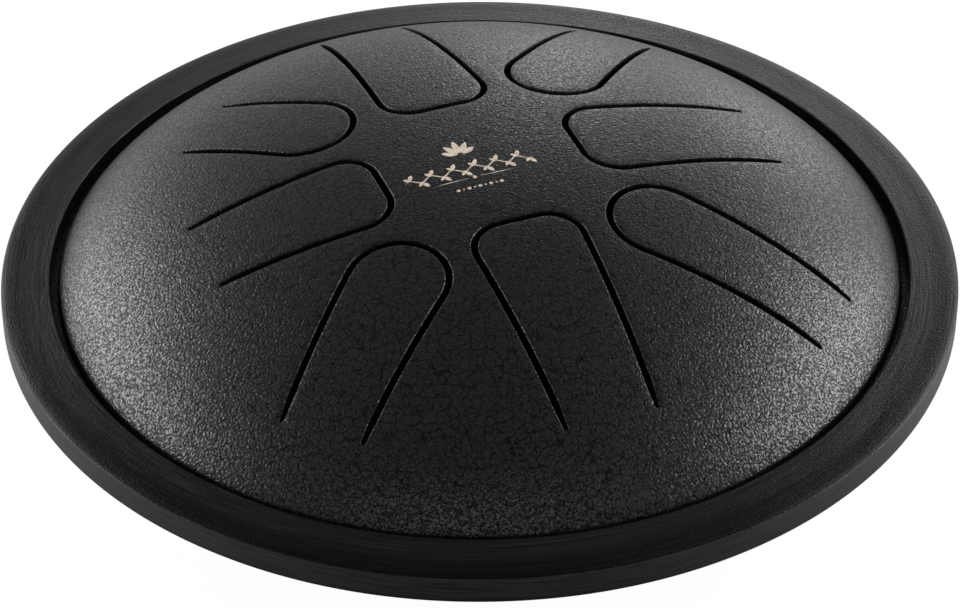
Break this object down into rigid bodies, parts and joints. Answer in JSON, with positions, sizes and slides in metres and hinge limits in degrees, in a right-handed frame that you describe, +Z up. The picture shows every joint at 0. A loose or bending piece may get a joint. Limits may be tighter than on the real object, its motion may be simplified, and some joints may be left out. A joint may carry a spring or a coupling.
{
  "type": "steel tongue drum",
  "caption": "Round steel tongue drum: a pressed lens-shaped body with tongues cut into its domed top, a rubber edge ring, a sound port and rubber feet below.",
  "frame": {"origin": "On the drum's axis, at the level the feet stand on: the bottom centre of the bounding box.", "axes": "+Z is up, along the drum's axis. +Y runs towards the tongue above the emblem and +X towards the tongue on its right."},
  "size_m": [0.3048, 0.3048, 0.094],
  "materials": {
    "black_coat": "black wrinkle-textured powder coat on pressed steel, half matte",
    "edge_rubber": "satin black rubber with fine moulding lines",
    "foot_rubber": "matte black rubber",
    "weld_steel": "bare weld bead",
    "fastener_steel": "bright zinc plate"
  },
  "bodies": {
    "drum": {"top_shell": "black_coat", "bottom_shell": "black_coat", "rim_weld": "weld_steel", "edge_ring": "edge_rubber", "foot_1": "foot_rubber", "foot_washer_1": "fastener_steel", "foot_screw_1": "fastener_steel", "foot_nut_1": "fastener_steel", "foot_2": "foot_rubber", "foot_washer_2": "fastener_steel", "foot_screw_2": "fastener_steel", "foot_nut_2": "fastener_steel", "foot_3": "foot_rubber", "foot_washer_3": "fastener_steel", "foot_screw_3": "fastener_steel", "foot_nut_3": "fastener_steel"},
    "tongue_1": {"tongue_1": "black_coat"},
    "tongue_2": {"tongue_2": "black_coat"},
    "tongue_3": {"tongue_3": "black_coat"},
    "tongue_4": {"tongue_4": "black_coat"},
    "tongue_5": {"tongue_5": "black_coat"},
    "tongue_6": {"tongue_6": "black_coat"},
    "tongue_7": {"tongue_7": "black_coat"},
    "tongue_8": {"tongue_8": "black_coat"}
  },
  "joints": [
    {"name": "tongue_1_flex", "type": "hinge", "parent": "drum", "child": "tongue_1", "pos_m": [0.0968, 0, 0.07715], "axis": [0, -1, 0], "range_deg": [-0.5, 0.5], "stiffness_Nm_per_rad": 91},
    {"name": "tongue_2_flex", "type": "hinge", "parent": "drum", "child": "tongue_2", "pos_m": [0.07743, 0.07743, 0.07139], "axis": [0.7071, -0.7071, 0], "range_deg": [-0.5, 0.5], "stiffness_Nm_per_rad": 83},
    {"name": "tongue_3_flex", "type": "hinge", "parent": "drum", "child": "tongue_3", "pos_m": [0, 0.1095, 0.07139], "axis": [1, 0, 0], "range_deg": [-0.5, 0.5], "stiffness_Nm_per_rad": 76},
    {"name": "tongue_4_flex", "type": "hinge", "parent": "drum", "child": "tongue_4", "pos_m": [-0.0688, 0.0688, 0.07695], "axis": [0.7071, 0.7071, 0], "range_deg": [-0.5, 0.5], "stiffness_Nm_per_rad": 103},
    {"name": "tongue_5_flex", "type": "hinge", "parent": "drum", "child": "tongue_5", "pos_m": [-0.0907, 0, 0.07944], "axis": [0, 1, 0], "range_deg": [-0.5, 0.5], "stiffness_Nm_per_rad": 101},
    {"name": "tongue_6_flex", "type": "hinge", "parent": "drum", "child": "tongue_6", "pos_m": [-0.08075, -0.08075, 0.0688], "axis": [-0.7071, 0.7071, 0], "range_deg": [-0.5, 0.5], "stiffness_Nm_per_rad": 77},
    {"name": "tongue_7_flex", "type": "hinge", "parent": "drum", "child": "tongue_7", "pos_m": [0, -0.1087, 0.0718], "axis": [-1, 0, 0], "range_deg": [-0.5, 0.5], "stiffness_Nm_per_rad": 76},
    {"name": "tongue_8_flex", "type": "hinge", "parent": "drum", "child": "tongue_8", "pos_m": [0.08436, -0.08436, 0.0656], "axis": [-0.7071, -0.7071, 0], "range_deg": [-0.5, 0.5], "stiffness_Nm_per_rad": 71}
  ]
}
